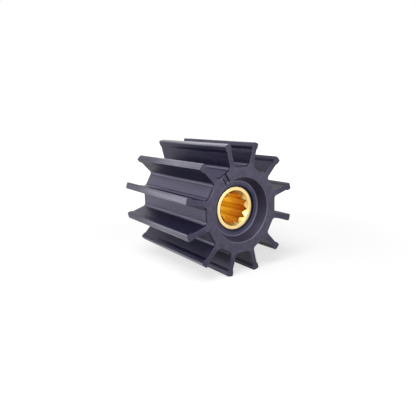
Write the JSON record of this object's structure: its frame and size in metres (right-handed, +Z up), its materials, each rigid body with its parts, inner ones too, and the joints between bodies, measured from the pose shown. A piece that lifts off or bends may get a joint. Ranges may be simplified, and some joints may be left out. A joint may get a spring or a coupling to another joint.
{
  "type": "rubber pump impeller",
  "caption": "Flexible-vane rubber impeller for a raw-water pump: a moulded hub with straight beaded vanes and dished ends, on a brass bush with a splined bore.",
  "frame": {"origin": "on the axis of rotation, midway between the two end faces, which is the centre of the bounding box", "axes": "+Y along the axis of rotation, from the notched front end face to the plain back end face; +Z up, midway between two vanes; it lies on the tips of its two lowest vanes"},
  "size_m": [0.0926, 0.0888, 0.0926],
  "materials": {
    "black_rubber": "satin moulded rubber",
    "machined_brass": "turned and broached brass"
  },
  "bodies": {
    "root": {"rubber_body": "black_rubber", "splined_bush": "machined_brass"}
  },
  "joints": []
}
